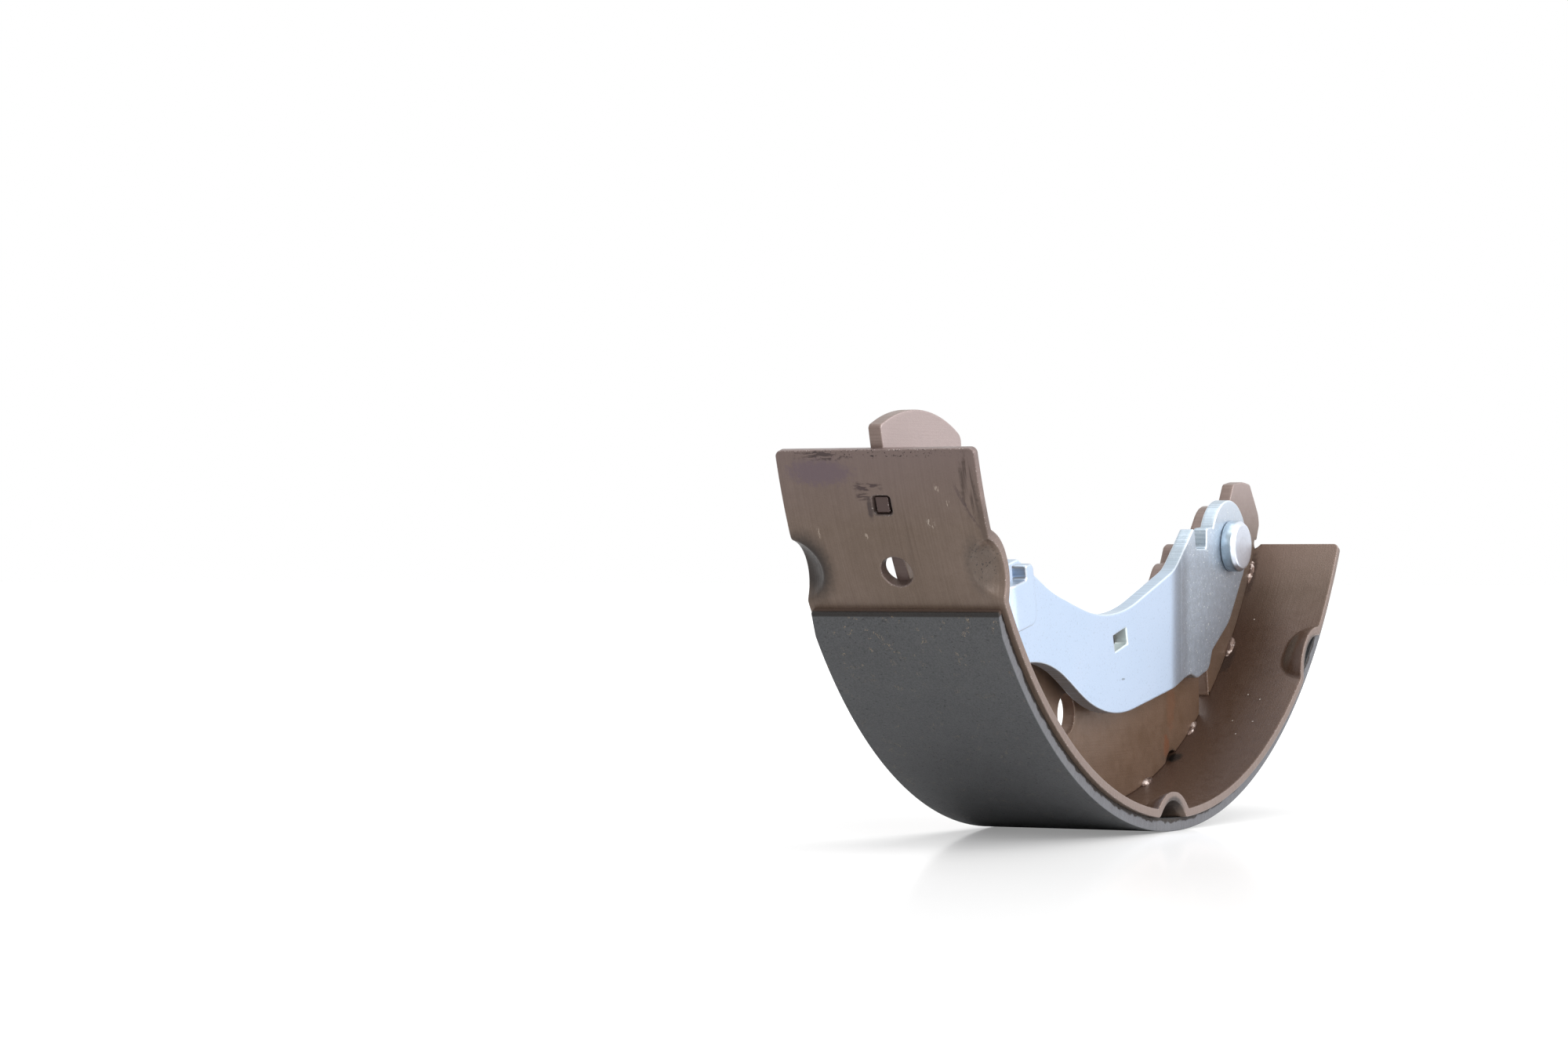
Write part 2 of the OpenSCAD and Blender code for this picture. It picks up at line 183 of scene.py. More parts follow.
def fine_outline(loop, step, corner_turn=12.0):
    """The loop with points at most step apart; gentle turns between its chords become curves."""
    points = [Vector(p) for p in loop]
    points = [p for i, p in enumerate(points) if (p - points[i - 1]).length > 1e-4]
    count = len(points)
    chords = [points[(i + 1) % count] - points[i] for i in range(count)]
    leaving, arriving = [], []
    for i in range(count):
        before, after = chords[i - 1], chords[i]
        if math.degrees(before.angle(after)) > corner_turn:
            arriving.append(before.normalized())
            leaving.append(after.normalized())
            continue
        # where an arc meets a much longer straight, the straight gives the direction
        if max(before.length, after.length) > 2.2 * min(before.length, after.length):
            tangent = max(before, after, key=lambda c: c.length).normalized()
        else:
            tangent = (before.normalized() + after.normalized()).normalized()
        arriving.append(tangent)
        leaving.append(tangent)
    out = []
    for i in range(count):
        k = (i + 1) % count
        length = chords[i].length
        a, b = points[i], points[k]
        away, home = leaving[i] * length, arriving[k] * length
        parts = max(1, math.ceil(length / step))
        for t in (part / parts for part in range(parts)):
            out.append(tuple(a * (2 * t**3 - 3 * t**2 + 1) + away * (t**3 - 2 * t**2 + t)
                             + b * (3 * t**2 - 2 * t**3) + home * (t**3 - t**2)))
    return out


# Sheet with rounded edges between two faces

def inward(loop):
    """For each point, the vector that moves it 1 mm into the sheet (on the loop's left)."""
    a = np.asarray(loop)
    ahead = np.roll(a, -1, axis=0) - a
    ahead /= np.linalg.norm(ahead, axis=1)[:, None]
    left = np.stack([-ahead[:, 1], ahead[:, 0]], 1)
    mean = left + np.roll(left, 1, axis=0)
    mean /= np.linalg.norm(mean, axis=1)[:, None]
    spread = np.clip(np.sum(mean * left, axis=1), 0.7, 1.0)
    return mean / spread[:, None]


def between(loops, p):
    """Which of the points p lie in the sheet, by counting the crossings of its outlines."""
    odd = np.zeros(len(p), bool)
    for loop in loops:
        for (u0, v0), (u1, v1) in zip(loop, loop[1:] + loop[:1]):
            if v0 != v1:
                odd ^= ((v0 > p[:, 1]) != (v1 > p[:, 1])) & (
                    p[:, 0] < (u1 - u0) * (p[:, 1] - v0) / (v1 - v0) + u0)
    return odd


def grid_inside(loops, spacing, fine):
    """Points of a staggered grid in the sheet, at a third of the spacing where fine(u, v) holds."""
    low, high = np.min(loops[0], axis=0), np.max(loops[0], axis=0)
    edge = [p for loop in loops for p in loop]
    tree = KDTree(len(edge))
    for i, p in enumerate(edge):
        tree.insert((p[0], p[1], 0), i)
    tree.balance()
    found = []
    for pitch, wanted in ((spacing, False), (spacing / 3, True)):
        if wanted and not fine:
            continue
        rows = int((high[1] - low[1]) / (pitch * ROW_SHARE)) + 1
        cols = int((high[0] - low[0]) / pitch) + 1
        v, u = np.mgrid[0:rows, 0:cols].astype(float)
        u = low[0] + (u + 0.5 * (v % 2)) * pitch
        v = low[1] + v * pitch * ROW_SHARE
        p = np.stack([u.ravel(), v.ravel()], 1)
        if fine:
            p = p[fine(p[:, 0], p[:, 1]) == wanted]
        clear = 0.5 * pitch
        found += [q for q in p[between(loops, p)] if tree.find((q[0], q[1], 0))[2] > clear]
    return [tuple(q) for q in found]


def edge_profile(thick, back, front):
    """Steps (inset, depth, share of wall) from the back face round the edge to the front face."""
    quarter = [math.radians(22.5 * k) for k in range(5)]
    steps = [(FLAT_RING * back, 0.0, 0.0)]
    steps += [(back * (1 - math.sin(a)), back * (1 - math.cos(a)), a / quarter[-1])
              for a in quarter]
    wall = thick - back - front
    parts = max(1, math.ceil(wall / WALL_STEP))
    steps += [(0.0, back + wall * k / parts, 1.0) for k in range(1, parts)]
    steps += [(front * (1 - math.sin(a)), thick - front * (1 - math.cos(a)), a / quarter[-1])
              for a in reversed(quarter)]
    return steps + [(FLAT_RING * front, thick, 0.0)]


def sheet_mesh(loops, lift, thick, rounding, spacing, fine=None):
    """A closed sheet over flat outlines: lift(u, v, depth) gives its points, all in mm.

    rounding holds the radii of the back and the front edges. Returns vertices, faces and, for
    each vertex, its flat place (u, v, depth), its share of wall and its length along the outline.
    """
    loops = [fine_outline(loop, EDGE_STEP) for loop in loops]
    loops = [loop if (signed_area(loop) > 0) == (i == 0) else loop[::-1]
             for i, loop in enumerate(loops)]
    steps = edge_profile(thick, *rounding)
    flat, wall, along, faces, starts = [], [], [], [], []
    for loop in loops:
        pts = np.asarray(loop)
        into = inward(loop)
        run = np.concatenate([[0], np.cumsum(np.linalg.norm(np.diff(pts, axis=0), axis=1))])
        first, count = len(flat), len(pts)
        starts.append((first, count))
        for inset, depth, share in steps:
            for (u, v), length in zip(pts + into * inset, run):
                flat.append((u, v, depth))
                wall.append(share)
                along.append(length)
        for j in range(len(steps) - 1):
            a, b = first + j * count, first + (j + 1) * count
            for i in range(count):
                k = (i + 1) % count
                faces.append((a + i, a + k, b + k, b + i))
    for ring, depth, way in ((0, 0.0, -1), (len(steps) - 1, thick, 1)):
        rims, rim_ids, borders = [], [], []
        for first, count in starts:
            begin = len(rim_ids)
            ids = range(first + ring * count, first + (ring + 1) * count)
            rims.append([flat[i][:2] for i in ids])
            rim_ids += ids
            borders += [(begin + i, begin + (i + 1) % count) for i in range(count)]
        every = [Vector(p) for loop in rims + [grid_inside(rims, spacing, fine)] for p in loop]
        verts, _, tris, came_from, _, _ = delaunay_2d_cdt(every, borders, [], 1, 1e-6)
        middles = np.asarray([np.mean([verts[i] for i in tri], axis=0) for tri in tris])
        tris = [tri for tri, kept in zip(tris, between(rims, middles)) if kept]
        ids = []
        for place, origins in zip(verts, came_from):
            if origins and origins[0] < len(rim_ids):
                ids.append(rim_ids[origins[0]])
            else:
                ids.append(len(flat))
                flat.append((place.x, place.y, depth))
                wall.append(0.0)
                along.append(0.0)
        faces += [tuple(ids[i] for i in (tri if way > 0 else tri[::-1])) for tri in tris]
    return [lift(*place) for place in flat], faces, flat, wall, along


def show(name, shells, node, material):
    """One finished piece from its shells, shown in place of a CAD node and riding on its body."""
    places, faces, flat, wall, along = [], [], [], [], []
    for shell in shells:
        first = len(places)
        places += shell[0]
        faces += [tuple(first + i for i in f) for f in shell[1]]
        flat += shell[2]
        wall += shell[3]
        along += shell[4]
    mesh = bpy.data.meshes.new(name)
    mesh.from_pydata(np.clip(np.asarray(places) * MM, *cad_box).tolist(), [], faces)
    mesh.materials.append(material)
    mesh.attributes.new("sheet_place", "FLOAT_VECTOR", "POINT").data.foreach_set(
        "vector", np.asarray(flat, dtype=np.float32).ravel())
    for label, values in (("edge_wall", wall), ("edge_run", along)):
        mesh.attributes.new(label, "FLOAT", "POINT").data.foreach_set("value", values)
    bm = bmesh.new()
    bm.from_mesh(mesh)
    bmesh.ops.recalc_face_normals(bm, faces=bm.faces)
    for f in bm.faces:
        f.smooth = True
    bm.to_mesh(mesh)
    bm.free()
    piece = bpy.data.objects.new(name, mesh)
    bpy.context.scene.collection.objects.link(piece)
    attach(piece, frame["nodes"][node]["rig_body"])
    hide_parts(node)


# Shapes of the pieces

def polar(angle, radius, y):
    """Point at an angle in radians and a radius about the drum axis, in the part's frame."""
    return (AXIS_X + radius * math.sin(angle), y, AXIS_Z - radius * math.cos(angle))


def soft_min(a, b, blend):
    share = min(1.0, max(0.0, 0.5 + 0.5 * (b - a) / blend))
    return b * (1 - share) + a * share - blend * share * (1 - share)


def pressed(angle, y, radius, ball, square, blend):
    """Radius of a rolled face where a nib's punch may press it in; square 2 gives a round dent."""
    for nib in NIB_ANGLES:
        off = angle - math.radians(nib)
        for side in (-1, 1):
            reach = (abs(y - side * NIB_MID_Y)**square
                     + abs(NIB_MID_R * math.sin(off))**square)**(1 / square)
            if abs(off) < 0.2 and reach < ball:
                dent = NIB_MID_R * math.cos(off) - math.sqrt(ball**2 - reach**2)
                radius = soft_min(radius, dent, blend)
    return radius


def punched(u, v, inner_share):
    """Narrows the punched holes toward the inner face; also gives the height of their burr there.

    Each hole: middle, half width, how much it narrows, height of its burr, whether it is square.
    """
    burr, strip = 0.0, 2.0
    for middle, half, pull, height, square in ((HOLE_U, HOLE_R, 0.3, 0.6, False),
                                               (TAB_U, TAB_HALF, 0.72, 0.0, True)):
        off = Vector((u - middle, v))
        away = max(abs(off.x), abs(off.y)) if square else off.length
        near = min(1.0, 1 - (away - half) / strip)
        if near > 0:
            off *= 1 - pull * inner_share * near / away
            u, v = middle + off.x, off.y
            burr = height * near**2
    return u, v, burr


def platform_lift(u, v, depth):
    """u along the outer face, v along the drum axis, depth from the inner face."""
    thick = PLATFORM_OUT - PLATFORM_IN
    u, v, burr = punched(u, v, 1 - depth / thick)
    angle = u / PLATFORM_OUT
    inner = pressed(angle, v, PLATFORM_IN, NIB_BALL + thick, square=2.5, blend=0.35)
    outer = pressed(angle, v, PLATFORM_OUT, NIB_BALL, square=2.0, blend=0.9)
    return polar(angle, inner - burr + (outer - inner + burr) * depth / thick, v)


def near_nib(u, v):
    """Where the dents of the nibs need the finer grid."""
    off = np.min([np.abs(u / PLATFORM_OUT - math.radians(n)) for n in NIB_ANGLES], axis=0)
    return (off < 11 / PLATFORM_OUT) & (np.abs(v) > PLATFORM_HALF_W - 9)


def platform_shell():
    start, end = (math.radians(a) * PLATFORM_OUT for a in (PLATFORM_FROM, PLATFORM_TO))
    w, corner_r = PLATFORM_HALF_W, 1.5
    # the round notch that clears the web at the pin end: its radius, how far its middle lies past
    # the end, and the radius that eases its corners
    notch_r, notch_out, eased = 3.4, 1.7, 0.5
    notch_v = math.sqrt(notch_r**2 - notch_out**2)
    swing = math.asin(notch_v / notch_r)
    notch = [(end + notch_out - notch_r * math.cos(swing * k / 8),
              notch_r * math.sin(swing * k / 8), 0) for k in range(-7, 8)]
    corners = [(start, -w, corner_r), (end, -w, corner_r), (end, -notch_v, eased)] + notch
    corners += [(end, notch_v, eased), (end, w, corner_r), (start, w, corner_r)]
    tab = rounded([(TAB_U + a * TAB_HALF, b * TAB_HALF, TAB_CORNER)
                   for a, b in ((-1, -1), (1, -1), (1, 1), (-1, 1))])
    return sheet_mesh([rounded(corners), circle(HOLE_U, 0, HOLE_R), tab], platform_lift,
                      PLATFORM_OUT - PLATFORM_IN, (0.3, 0.35), 1.5, fine=near_nib)


def web_shell():
    loops = cad_outlines("web", lambda normal, _: normal.y < -0.9)
    return sheet_mesh(loops, lambda u, v, depth: (u, WEB_HALF - depth, v), 2 * WEB_HALF,
                      (0.3, 0.35), 3.0)


def lining_lift(u, v, depth):
    """u along the round outside, depth from the platform; both ends thin out toward the drum."""
    thick, chamfer_l, chamfer_d = DRUM_R - PLATFORM_OUT, 6.0, 1.6
    to_end = min(u - math.radians(LINING_FROM) * DRUM_R, math.radians(LINING_TO) * DRUM_R - u)
    kept = thick - chamfer_d * max(0.0, 1 - to_end / chamfer_l)
    return polar(u / DRUM_R, PLATFORM_OUT + depth * kept / thick, v)


def lining_shell():
    start, end = (math.radians(a) * DRUM_R for a in (LINING_FROM, LINING_TO))
    corners = [(u, v, 0.4) for u, v in ((start, LINING_FRONT), (end, LINING_FRONT),
                                        (end, LINING_BACK), (start, LINING_BACK))]
    return sheet_mesh([rounded(corners, 30)], lining_lift, DRUM_R - PLATFORM_OUT, (0.12, 0.22),
                      2.0)


def crank(u):
    """How far the lever's sheet lies toward the web, with its two bends eased."""
    ease = 2.4
    ramp = lambda s: 0.0 if s < -ease else s if s > ease else (s + ease)**2 / (4 * ease)
    slope = (HEAD_BACK - ARM_BACK) / (CRANK_TO - CRANK_FROM)
    return slope * (ramp(u - CRANK_FROM) - ramp(u - CRANK_TO))


def lever_plate_shell():
    back = lambda normal, middle: normal.y > 0.9 and middle.y > ARM_BACK - 0.1
    return sheet_mesh(cad_outlines("parking_lever", back),
                      lambda u, v, depth: (u, ARM_BACK + crank(u) - depth, v),
                      ARM_BACK - ARM_FRONT, (0.35, 0.4), 1.5)


def hook_lift(u, v, depth):
    """u runs from inside the plate round the bend and along the lip, v up the leaning bend."""
    sheet = ARM_BACK - ARM_FRONT
    middle = HOOK_BEND + sheet / 2
    turn = math.pi * middle
    # up to 0.5 mm along it the strip is 7 % thinner, so that its faces stay sunk in the plate
    sunk = 1 - 0.07 * min(1.0, max(0.0, (2.5 - u) / 2.0))
    radius = middle + (depth - sheet / 2) * sunk
    centre_y = ARM_FRONT - HOOK_BEND
    if u < 0:
        along, y = -u, centre_y + radius
    elif u < turn:
        along, y = -radius * math.sin(u / middle), centre_y + radius * math.cos(u / middle)
    else:
        along, y = u - turn, centre_y - radius
    along -= HOOK_LIP_L
    lean_c, lean_s = math.cos(HOOK_LEAN), math.sin(HOOK_LEAN)
    return (HOOK_CORNER[0] + along * lean_c - v * lean_s, y,
            HOOK_CORNER[1] + along * lean_s + v * lean_c)


def hook_shell():
    start, end = -2, math.pi * (HOOK_BEND + (ARM_BACK - ARM_FRONT) / 2) + HOOK_LIP_L
    corners = [(start, 0, 0.6), (end, 0, 3.2), (end, HORN_H, 2), (end - HORN_W, HORN_H, 0.8),
               (end - HORN_W, HOOK_H, 0.8), (start, HOOK_H, 0.6)]
    return sheet_mesh([rounded(corners)], hook_lift, ARM_BACK - ARM_FRONT, (0.4, 0.4), 1.0)


def pin_shell():
    """Turned pin: head, journal, shank in the web and riveted end, as rings about its axis."""
    head_back, head_end, tail_end = -5.85, -9.65, 3.65
    # radius and Y of each ring: the head's face and chamfer, its side and back, the journal and
    # the shank, the riveted end
    profile = [(0.02, head_end + 0.1), (2, head_end + 0.06), (5.3, head_end),
               (5.75, head_end + 0.03), (5.92, head_end + 0.12), (6.02, head_end + 0.25),
               (6.55, head_end + 0.9), (6.65, head_end + 1.05), (6.7, head_end + 1.25),
               (6.7, head_end + 2.4), (6.7, head_back - 0.3), (6.62, head_back - 0.1),
               (6.45, head_back), (4.75, head_back), (4.75, -WEB_HALF), (4.0, -WEB_HALF),
               (4.0, WEB_HALF), (5.6, WEB_HALF), (5.75, WEB_HALF + 0.15),
               (5.75, WEB_HALF + 0.8), (5.6, WEB_HALF + 1.2), (5.1, tail_end - 0.35),
               (4.6, tail_end - 0.08), (4.1, tail_end), (0.02, tail_end)]
    count = 128
    places, flat, faces = [], [], []
    for r, y in profile:
        for k in range(count):
            angle = 2 * math.pi * k / count
            places.append((PIVOT[0] + r * math.cos(angle), y, PIVOT[1] + r * math.sin(angle)))
            flat.append((r, y, angle))
    last = (len(profile) - 1) * count
    for a in range(0, last, count):
        b = a + count
        faces += [(a + k, a + (k + 1) % count, b + (k + 1) % count, b + k) for k in range(count)]
    faces += [tuple(range(count)), tuple(range(last, last + count))]
    return places, faces, flat, [0.0] * len(places), [0.0] * len(places)


# Colours and node trees

def linear(code):
    """sRGB hex code to a linear colour with alpha."""
    parts = [int(code[i:i + 2], 16) / 255 for i in (1, 3, 5)]
    return tuple(c / 12.92 if c <= 0.04045 else ((c + 0.055) / 1.055) ** 2.4
                 for c in parts) + (1.0,)


def add(tree, kind, inputs=None, **settings):
    """Adds a node; inputs holds values and sockets by input name or number."""
    made = tree.nodes.new(kind)
    for name, value in settings.items():
        setattr(made, name, value)
    for key, value in (inputs or {}).items():
        socket = made.inputs[key]
        if isinstance(value, bpy.types.NodeSocket):
            tree.links.new(value, socket)
        else:
            socket.default_value = value
    return made


def new_material(name):
    made = bpy.data.materials.new(name)
    made.use_nodes = True
    made.node_tree.nodes.clear()
    return made, made.node_tree


def pattern(tree, place, grain_mm, low, high, detail=3.0, stretch=(1, 1, 1), offset=(0, 0, 0)):
    """Noise of a grain size in mm, 0 below low and 1 above high; stretch makes it longer."""
    scaled = add(tree, "ShaderNodeMapping", {"Vector": place, "Location": offset,
                                             "Scale": tuple(1 / (grain_mm * s) for s in stretch)})
    noise = add(tree, "ShaderNodeTexNoise", {"Vector": scaled.outputs[0], "Scale": 1.0,
                                             "Detail": detail})
    return add(tree, "ShaderNodeMapRange",
               {"Value": noise.outputs[0], "From Min": low, "From Max": high},
               interpolation_type="SMOOTHSTEP").outputs[0]


def mark(tree, place, centre, reach, ragged):
    """Soft-edged spot: 1 in its core, 0 outside its reach (mm), its outline ragged by noise."""
    core = 0.45
    away = add(tree, "ShaderNodeVectorMath", {0: place, 1: centre}, operation="SUBTRACT")
    scaled = add(tree, "ShaderNodeVectorMath",
                 {0: away.outputs[0], 1: tuple(1 / r for r in reach)}, operation="MULTIPLY")
    length = add(tree, "ShaderNodeVectorMath", {0: scaled.outputs[0]}, operation="LENGTH")
    rough = add(tree, "ShaderNodeTexNoise", {"Vector": place, "Scale": 0.9, "Detail": 4.0})
    pushed = add(tree, "ShaderNodeMath",
                 {0: rough.outputs[0], 1: ragged, 2: length.outputs["Value"]},
                 operation="MULTIPLY_ADD")
    return add(tree, "ShaderNodeMapRange", {"Value": pushed.outputs[0],
                                            "From Min": 1.0 + ragged / 2,
                                            "From Max": core + ragged / 2},
               interpolation_type="SMOOTHSTEP").outputs[0]


def times(tree, *shares):
    """Product of shares, each a socket or a number."""
    total = shares[0]
    for share in shares[1:]:
        total = add(tree, "ShaderNodeMath", {0: total, 1: share},
                    operation="MULTIPLY").outputs[0]
    return total


def coats(tree, colour, layers):
    """Lays coats (share, hex colour) over a colour, one after another."""
    for share, code in layers:
        colour = add(tree, "ShaderNodeMix", {0: share, 6: colour, 7: linear(code)},
                     data_type="RGBA").outputs[2]
    return colour


def edge_shares(tree):
    """Share of cut wall, share of rounded edge, and the length along the outline."""
    wall = add(tree, "ShaderNodeAttribute", attribute_name="edge_wall").outputs["Fac"]
    run = add(tree, "ShaderNodeAttribute", attribute_name="edge_run").outputs["Fac"]
    rise, fall, cut = (
        add(tree, "ShaderNodeMapRange", {"Value": wall, "From Min": a, "From Max": b}).outputs[0]
        for a, b in ((0.0, 0.5), (1.0, 0.6), (0.35, 0.8)))
    return cut, times(tree, rise, fall), run


def in_mm(tree):
    """Object coordinates in millimetres, and the sheet's own place (along, across, depth)."""
    place = add(tree, "ShaderNodeTexCoord").outputs["Object"]
    scaled = add(tree, "ShaderNodeVectorMath", {0: place, "Scale": 1 / MM},
                 operation="SCALE").outputs[0]
    sheet = add(tree, "ShaderNodeAttribute", attribute_name="sheet_place").outputs["Vector"]
    return scaled, sheet


def finish(tree, colour, roughness, height, depth_mm, **shader_values):
    """Principled shader with a relief of depth_mm, ready as the surface."""
    relief = add(tree, "ShaderNodeBump",
                 {"Height": height, "Distance": depth_mm * MM, "Strength": 1.0})
    values = {"Base Color": colour, "Roughness": roughness, "Normal": relief.outputs[0]}
    shader = add(tree, "ShaderNodeBsdfPrincipled", {**values, **shader_values})
    add(tree, "ShaderNodeOutputMaterial", {"Surface": shader.outputs["BSDF"]})


# Materials

def baked_lacquer(name, marks):
    """Bronze-brown lacquer dipped and baked on pressed sheet steel; marks adds wear and painted
    light.

    A thin satin skin: it keeps the sheet's rolling lines and gathers drips; shade in corners and
    holes is painted dark, and cut edges are thin, pinkish and partly painted lighter as lit faces,
    with painted highlights and glints on their rounded rims.
    """
    made, tree = new_material(name)
    place, sheet = in_mm(tree)
    cut, rim, run = edge_shares(tree)
    cloud = pattern(tree, place, 22, 0.3, 0.7)
    mottle = pattern(tree, place, 2.4, 0.3, 0.7)
    grain = pattern(tree, place, 0.35, 0.2, 0.8, 1.0)
    lines = pattern(tree, sheet, 0.45, 0.25, 0.75, 3.0, stretch=(40, 1, 4))
    specks = pattern(tree, place, 0.7, 0.66, 0.72, 2.0)
    colour = coats(tree, linear("#6b5a4d"), [
        (cloud, "#76655a"), (times(tree, mottle, 0.35), "#665548"),
        (times(tree, grain, 0.22), "#8a776b"), (times(tree, lines, 0.3), "#544539"),
        (times(tree, specks, 0.12), "#3a2c26")])
    # cut edges: thin lacquer over the shear lines, which run across the thickness, partly painted
    # lighter as lit faces; the rounded rims get a painted highlight and painted glints
    across = add(tree, "ShaderNodeCombineXYZ", {"X": run}).outputs[0]
    shear = pattern(tree, across, 0.6, 0.35, 0.65, 3.0)
    glint = pattern(tree, place, 0.3, 0.61, 0.68, 2.0)
    colour = coats(tree, colour, [
        (times(tree, cut, 0.75), "#94817a"), (times(tree, cut, shear, 0.4), "#6b5850"),
        (times(tree, rim, 0.4), "#a08d86"), *marks(tree, place, sheet, cut),
        (times(tree, rim, glint, 0.65), "#efe6e2")])
    # painted shade: the walls and rims in the punched holes are painted nearly black
    holes = mark(tree, sheet, (HOLE_U - 8.5, 0.0, 1.0), (17.0, 7.5, 9.0), 0.0)
    edge = add(tree, "ShaderNodeMath", {0: cut, 1: times(tree, rim, 0.8)},
               operation="MAXIMUM").outputs[0]
    colour = coats(tree, colour, [(times(tree, holes, edge, 0.88), "#2a201d")])
    roughness = add(tree, "ShaderNodeMapRange",
                    {"Value": mottle, "To Min": 0.30, "To Max": 0.42}).outputs[0]
    height = add(tree, "ShaderNodeMath", {0: lines, 1: 0.5, 2: times(tree, grain, 0.6)},
                 operation="MULTIPLY_ADD").outputs[0]
    finish(tree, colour, roughness, height, 0.02, Metallic=0.25, IOR=1.5)
    return made


def platform_marks(tree, place, sheet, cut):
    """Painted shade and sheen, dirt and scratches, placed in mm along and across the sheet."""
    along, across, depth = add(tree, "ShaderNodeSeparateXYZ", {0: sheet}).outputs
    z = add(tree, "ShaderNodeSeparateXYZ", {0: place}).outputs[2]
    off_middle = add(tree, "ShaderNodeMath", {0: across}, operation="ABSOLUTE").outputs[0]
    painted_end_sheen, inner, low, top, corner = (
        add(tree, "ShaderNodeMapRange", {"Value": value, "From Min": a, "From Max": b}).outputs[0]
        for value, a, b in ((along, -140.0, -158.0), (depth, 1.6, 0.8), (z, 68.0, 48.0),
                            (z, 58.0, 70.0), (off_middle, 9.0, 2.0)))
    face = add(tree, "ShaderNodeMath", {0: 1.0, 1: cut}, operation="SUBTRACT").outputs[0]
    inner = times(tree, inner, face)
    specks = pattern(tree, place, 0.55, 0.60, 0.66, 2.0)
    torn = pattern(tree, sheet, 0.8, 0.4, 0.6, 2.0, stretch=(12, 1, 4))
    drawn = pattern(tree, sheet, 0.5, 0.5, 0.6, 1.0, stretch=(60, 1, 4))
    scuffed = pattern(tree, sheet, 0.35, 0.52, 0.58, 2.0, stretch=(3, 1, 4))
    streaks = pattern(tree, sheet, 0.6, 0.48, 0.54, 2.0, stretch=(1, 6, 4))
    # a run of lacquer 0.6 mm wide, dried down the sheet in a bow: its place across the sheet is a
    # parabola of the way along it
    bow_from, bow_curve, bow_slope, bow_across, bow_half = -151.3, -0.011, -0.30, -18.8, 0.3
    down = add(tree, "ShaderNodeMath", {0: along, 1: -bow_from}, operation="ADD").outputs[0]
    slope = add(tree, "ShaderNodeMath", {0: down, 1: bow_curve, 2: bow_slope},
                operation="MULTIPLY_ADD").outputs[0]
    bow = add(tree, "ShaderNodeMath", {0: down, 1: slope, 2: bow_across},
              operation="MULTIPLY_ADD").outputs[0]
    wobble = add(tree, "ShaderNodeMath", {0: scuffed, 1: 0.35, 2: across},
                 operation="MULTIPLY_ADD").outputs[0]
    run = add(tree, "ShaderNodeMath", {0: wobble, 1: bow, 2: bow_half},
              operation="COMPARE").outputs[0]
    # each spot: middle along and across, reach along and across, raggedness, share, colour
    through = (
        (-150.0, -22.5, 9.5, 2.6, 0.9, times(tree, torn, 0.75), "#43342e"),
        (-131.0, -21.8, 7.5, 4.2, 0.6, specks, "#2c2626"),
        (-154.0, 14.5, 4.2, 10.5, 0.9, 0.7, "#65555f"),
        (-141.0, -24.6, 8.0, 1.6, 0.6, 0.5, "#4a3b34"),
        # painted highlight: a greenish-grey sheen on the third nib
        (98.5, -20.3, 8.0, 2.4, 0.3, 0.3, "#6f706a"),
        # painted shade: black in the web's relief notch, and darker along the web's corner
        (51.2, -2.6, 3.6, 2.6, 0.4, 0.96, "#110d0b"),
        (96.0, -2.6, 7.0, 2.2, 0.9, 0.6, "#2f231e"),
        (125.0, -2.2, 9.0, 1.6, 0.9, 0.6, "#3b2b26"))
    outside = (
        # painted shade: the next four spots darken the dents of the nibs
        (-130.2, 23.0, 11.5, 8.5, 0.2, 0.92, "#261e1b"),
        (-130.0, -21.0, 9.5, 4.2, 0.6, 0.5, "#4b423c"),
        (-5.0, -23.0, 9.0, 6.5, 0.2, 0.85, "#261e1b"),
        (98.5, -23.0, 9.0, 6.5, 0.2, 0.8, "#261e1b"),
        (-150.4, 3.0, 1.5, 4.6, 0.9, times(tree, streaks, 0.8), "#3a2a2d"),
        (-148.0, 4.2, 1.3, 2.6, 0.9, times(tree, streaks, 0.7), "#3a2a2b"),
        (-144.9, 3.1, 3.4, 0.9, 0.6, 0.7, "#33272a"),
        (-141.5, -11.5, 1.7, 1.4, 0.9, scuffed, "#a3968a"),
        (-150.1, -14.7, 1.5, 0.8, 0.9, scuffed, "#a5968a"),
        (-146.2, -16.8, 1.0, 0.8, 0.9, scuffed, "#a5968a"),
        (-139.0, 17.5, 2.0, 0.6, 0.9, scuffed, "#9c8d80"),
        (-138.2, 5.5, 0.9, 0.6, 0.9, scuffed, "#9c8d80"),
        (-136.5, -3.0, 17.0, 6.0, 0.5, times(tree, drawn, 0.18), "#493b33"),
        (-158.6, 0.0, 1.7, 27.0, 0.9, specks, "#332829"),
        (-158.0, 13.0, 1.4, 8.0, 1.5, streaks, "#4b3d3c"),
        (-146.0, -21.5, 8.5, 4.5, 0.3, times(tree, run, 0.5), "#47373a"))
    # painted light: inner face shaded low down and by the web, lit at the top; sheen on the near
    # end
    layers = [(times(tree, inner, low, 0.85), "#503829"),
              (times(tree, inner, top, 0.6), "#8d776c"),
              (times(tree, inner, corner, low, 0.45), "#4a352c"),
              (times(tree, painted_end_sheen, 0.55), "#7c6b6a")]
    for spots, middle, reach_in in ((through, 1.0, 9), (outside, 2.1, 1.4)):
        for u, v, reach_u, reach_v, ragged, share, code in spots:
            spot = mark(tree, sheet, (u, v, middle), (reach_u, reach_v, reach_in), ragged)
            layers.append((times(tree, spot, share), code))
    # painted highlights: small white glints on the inner face
    for u, v in ((70.8, -11.8), (64.5, -14.8), (70.6, -17.5), (82.2, -12.5), (80.3, -16.4),
                 (110.3, -6.4)):
        layers.append((mark(tree, sheet, (u, v, 0.0), (0.24, 0.24, 1.0), 0.3), "#d8cdc2"))
    return layers


